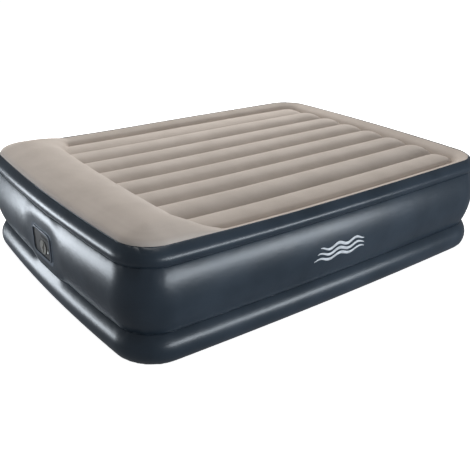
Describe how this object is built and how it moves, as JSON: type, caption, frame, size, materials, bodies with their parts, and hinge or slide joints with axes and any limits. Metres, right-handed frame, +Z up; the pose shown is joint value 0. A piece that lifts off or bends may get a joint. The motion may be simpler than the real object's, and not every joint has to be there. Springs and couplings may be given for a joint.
{
  "type": "raised inflatable airbed with built-in pump",
  "caption": "Raised queen-size inflatable airbed: flocked channelled top with a pillow bolster, banded vinyl wall and a built-in electric pump in the head end.",
  "frame": {"origin": "on the floor under the middle of the bed, at the centre of the bottom of its box", "axes": "+X from the head end (pillow bolster and pump) to the foot end, +Y across the bed, +Z up"},
  "size_m": [2.03, 1.52, 0.515],
  "materials": {
    "flocked_fabric": "flocked, velvety",
    "navy_vinyl": "satin vinyl",
    "inner_film": "plain vinyl",
    "collar_vinyl": "moulded vinyl",
    "pump_shell": "fine moulded",
    "grille_plastic": "moulded",
    "dial_plastic": "satin moulded",
    "rocker_plastic": "glossy",
    "impeller_plastic": "moulded",
    "soft_rubber": "soft",
    "steel": "plain",
    "motor_steel": "zinc plated",
    "magnet": "sintered"
  },
  "bodies": {
    "airbed": {"belt_lower": "inner_film", "belt_upper": "inner_film", "blower_housing": "pump_shell", "bolster_web": "inner_film", "bottom_sheet": "navy_vinyl", "bracket_screws": "steel", "channel_web_1": "inner_film", "channel_web_2": "inner_film", "channel_web_3": "inner_film", "channel_web_4": "inner_film", "channel_web_5": "inner_film", "channel_web_6": "inner_film", "channel_web_7": "inner_film", "cord_gland": "soft_rubber", "door_pin": "steel", "face_gasket": "soft_rubber", "far_rim_web": "inner_film", "flap_pin": "steel", "foot_rim_web": "inner_film", "intake_grille": "grille_plastic", "motor_bracket": "pump_shell", "motor_can": "motor_steel", "motor_magnets": "magnet", "motor_mount": "soft_rubber", "near_rim_web": "inner_film", "outlet_seat": "pump_shell", "pump_collar": "collar_vinyl", "pump_faceplate": "pump_shell", "pump_housing": "pump_shell", "switch_body": "grille_plastic", "top_sheet": "flocked_fabric", "valve_sleeve": "pump_shell", "wall_band_lower": "navy_vinyl", "wall_band_middle": "navy_vinyl", "wall_band_upper": "navy_vinyl"},
    "cord_door_body": {"cord_door": "pump_shell"},
    "dial_body": {"dial_knob": "dial_plastic", "valve_drum": "pump_shell"},
    "rocker_body": {"power_rocker": "rocker_plastic"},
    "rotor_body": {"impeller": "impeller_plastic", "motor_shaft": "steel", "motor_armature": "motor_steel"},
    "flap_body": {"check_flap": "soft_rubber"}
  },
  "joints": [
    {"name": "door_hinge", "type": "hinge", "parent": "airbed", "child": "cord_door_body", "pos_m": [-1.005, 0.0715, 0.247], "axis": [0, 0, -1], "range_deg": [0, 95]},
    {"name": "dial_turn", "type": "hinge", "parent": "airbed", "child": "dial_body", "pos_m": [-1.007, -0.014, 0.235], "axis": [-1, 0, 0], "range_deg": [-60, 60]},
    {"name": "rocker_tilt", "type": "hinge", "parent": "airbed", "child": "rocker_body", "pos_m": [-1.0045, -0.058, 0.228], "axis": [0, -1, 0], "range_deg": [0, 14]},
    {"name": "rotor_spin", "type": "hinge", "parent": "airbed", "child": "rotor_body", "pos_m": [-0.957, -0.014, 0.235], "axis": [-1, 0, 0], "continuous": true},
    {"name": "flap_hinge", "type": "hinge", "parent": "airbed", "child": "flap_body", "pos_m": [-0.8766, 0.045, 0.271], "axis": [0, -1, 0], "range_deg": [0, 55]}
  ]
}
